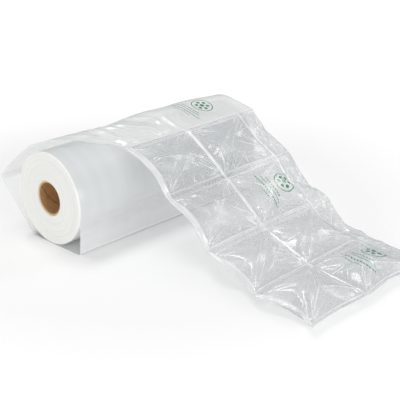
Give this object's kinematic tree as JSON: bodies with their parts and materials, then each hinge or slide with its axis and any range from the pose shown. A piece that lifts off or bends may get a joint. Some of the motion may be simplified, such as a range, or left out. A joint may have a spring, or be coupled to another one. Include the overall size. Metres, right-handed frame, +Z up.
{
  "type": "air pillow film roll",
  "caption": "Roll of air pillow packing film on a paper core, with a drawn-off length of film and a chain of inflated pillows lying in front.",
  "frame": {"origin": "centre of the core's bore, midway between the roll's ends", "axes": "+X along the roll's axis away from the end that the picture shows, -Y towards the pillows, +Z up"},
  "size_m": [0.406, 0.615, 0.1664],
  "materials": {
    "core": "matte kraft paperboard",
    "wound_film": "milky satin, many turns of clear film",
    "film_web": "clear glossy film",
    "pillows": "clear glossy film, inflated"
  },
  "bodies": {
    "root": {"core": "core", "wound_film": "wound_film", "film_web": "film_web", "pillow_row_1": "pillows", "pillow_row_2": "pillows", "pillow_row_3": "pillows", "pillow_row_4": "pillows"}
  },
  "joints": []
}
